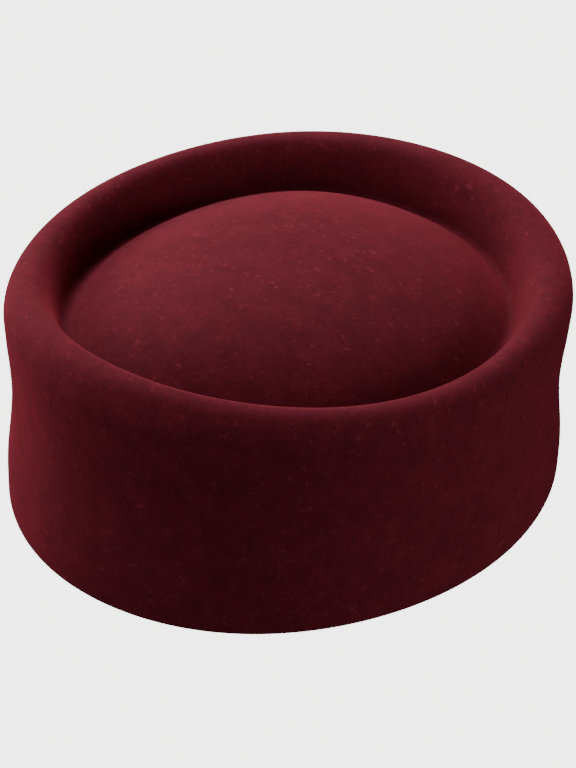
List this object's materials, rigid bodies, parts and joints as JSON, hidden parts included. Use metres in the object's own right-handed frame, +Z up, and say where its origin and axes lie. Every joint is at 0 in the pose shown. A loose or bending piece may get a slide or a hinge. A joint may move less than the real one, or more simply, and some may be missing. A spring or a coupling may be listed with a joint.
{
  "type": "pillbox hat",
  "caption": "Brimless oval felt hat blocked in one piece: waisted side wall, rolled rim higher at the front, sunken groove and low domed crown, open underneath for the head.",
  "frame": {"origin": "centre of the hat's box, on the plane that the hem stands on", "axes": "+Z up through the crown, -Y towards the front, where the rim is highest, +X towards one side; the long axis of the oval lies along Y"},
  "size_m": [0.175, 0.197, 0.0818],
  "materials": {
    "wool_felt": "matt brushed wool felt with a fine short nap, dark burgundy"
  },
  "bodies": {
    "root": {"felt_body": "wool_felt"}
  },
  "joints": []
}
